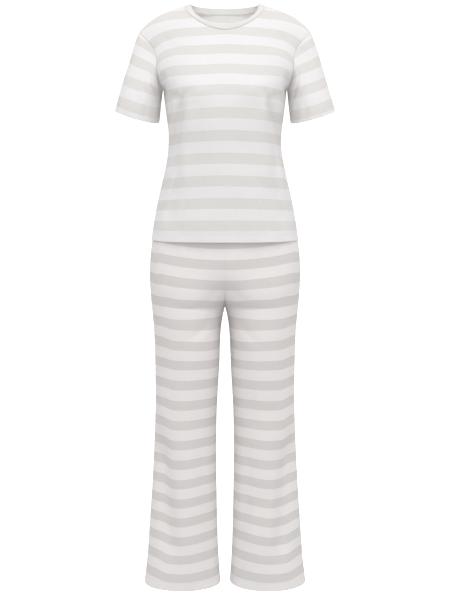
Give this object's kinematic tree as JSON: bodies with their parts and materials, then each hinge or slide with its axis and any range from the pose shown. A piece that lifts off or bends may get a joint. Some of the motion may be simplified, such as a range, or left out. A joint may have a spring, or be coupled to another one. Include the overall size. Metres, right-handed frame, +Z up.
{
  "type": "pyjama set",
  "caption": "Worn-shape pyjama set of striped jersey: a short-sleeved crew-neck top over long, slightly flared trousers with an elastic waist.",
  "frame": {"origin": "on the middle plane, level with the two points where the shoulder seams meet the neckband, between the shoulders that hold the set up", "axes": "+Z up from the trouser hems to the neck, +X towards the viewer's right when facing the front, and the front faces -Y"},
  "size_m": [0.563, 0.2618, 1.5222],
  "materials": {
    "jersey": "matt single jersey with woven-in bands of light grey and white",
    "rib": "matt jersey neck binding in light grey",
    "waist_jersey": "matt jersey casing over a flat elastic"
  },
  "bodies": {
    "root": {"top_front": "jersey", "top_back": "jersey", "sleeve_right": "jersey", "sleeve_left": "jersey", "neckband": "rib", "trouser_front_right": "jersey", "trouser_front_left": "jersey", "trouser_back_right": "jersey", "trouser_back_left": "jersey", "waistband": "waist_jersey"}
  },
  "joints": []
}
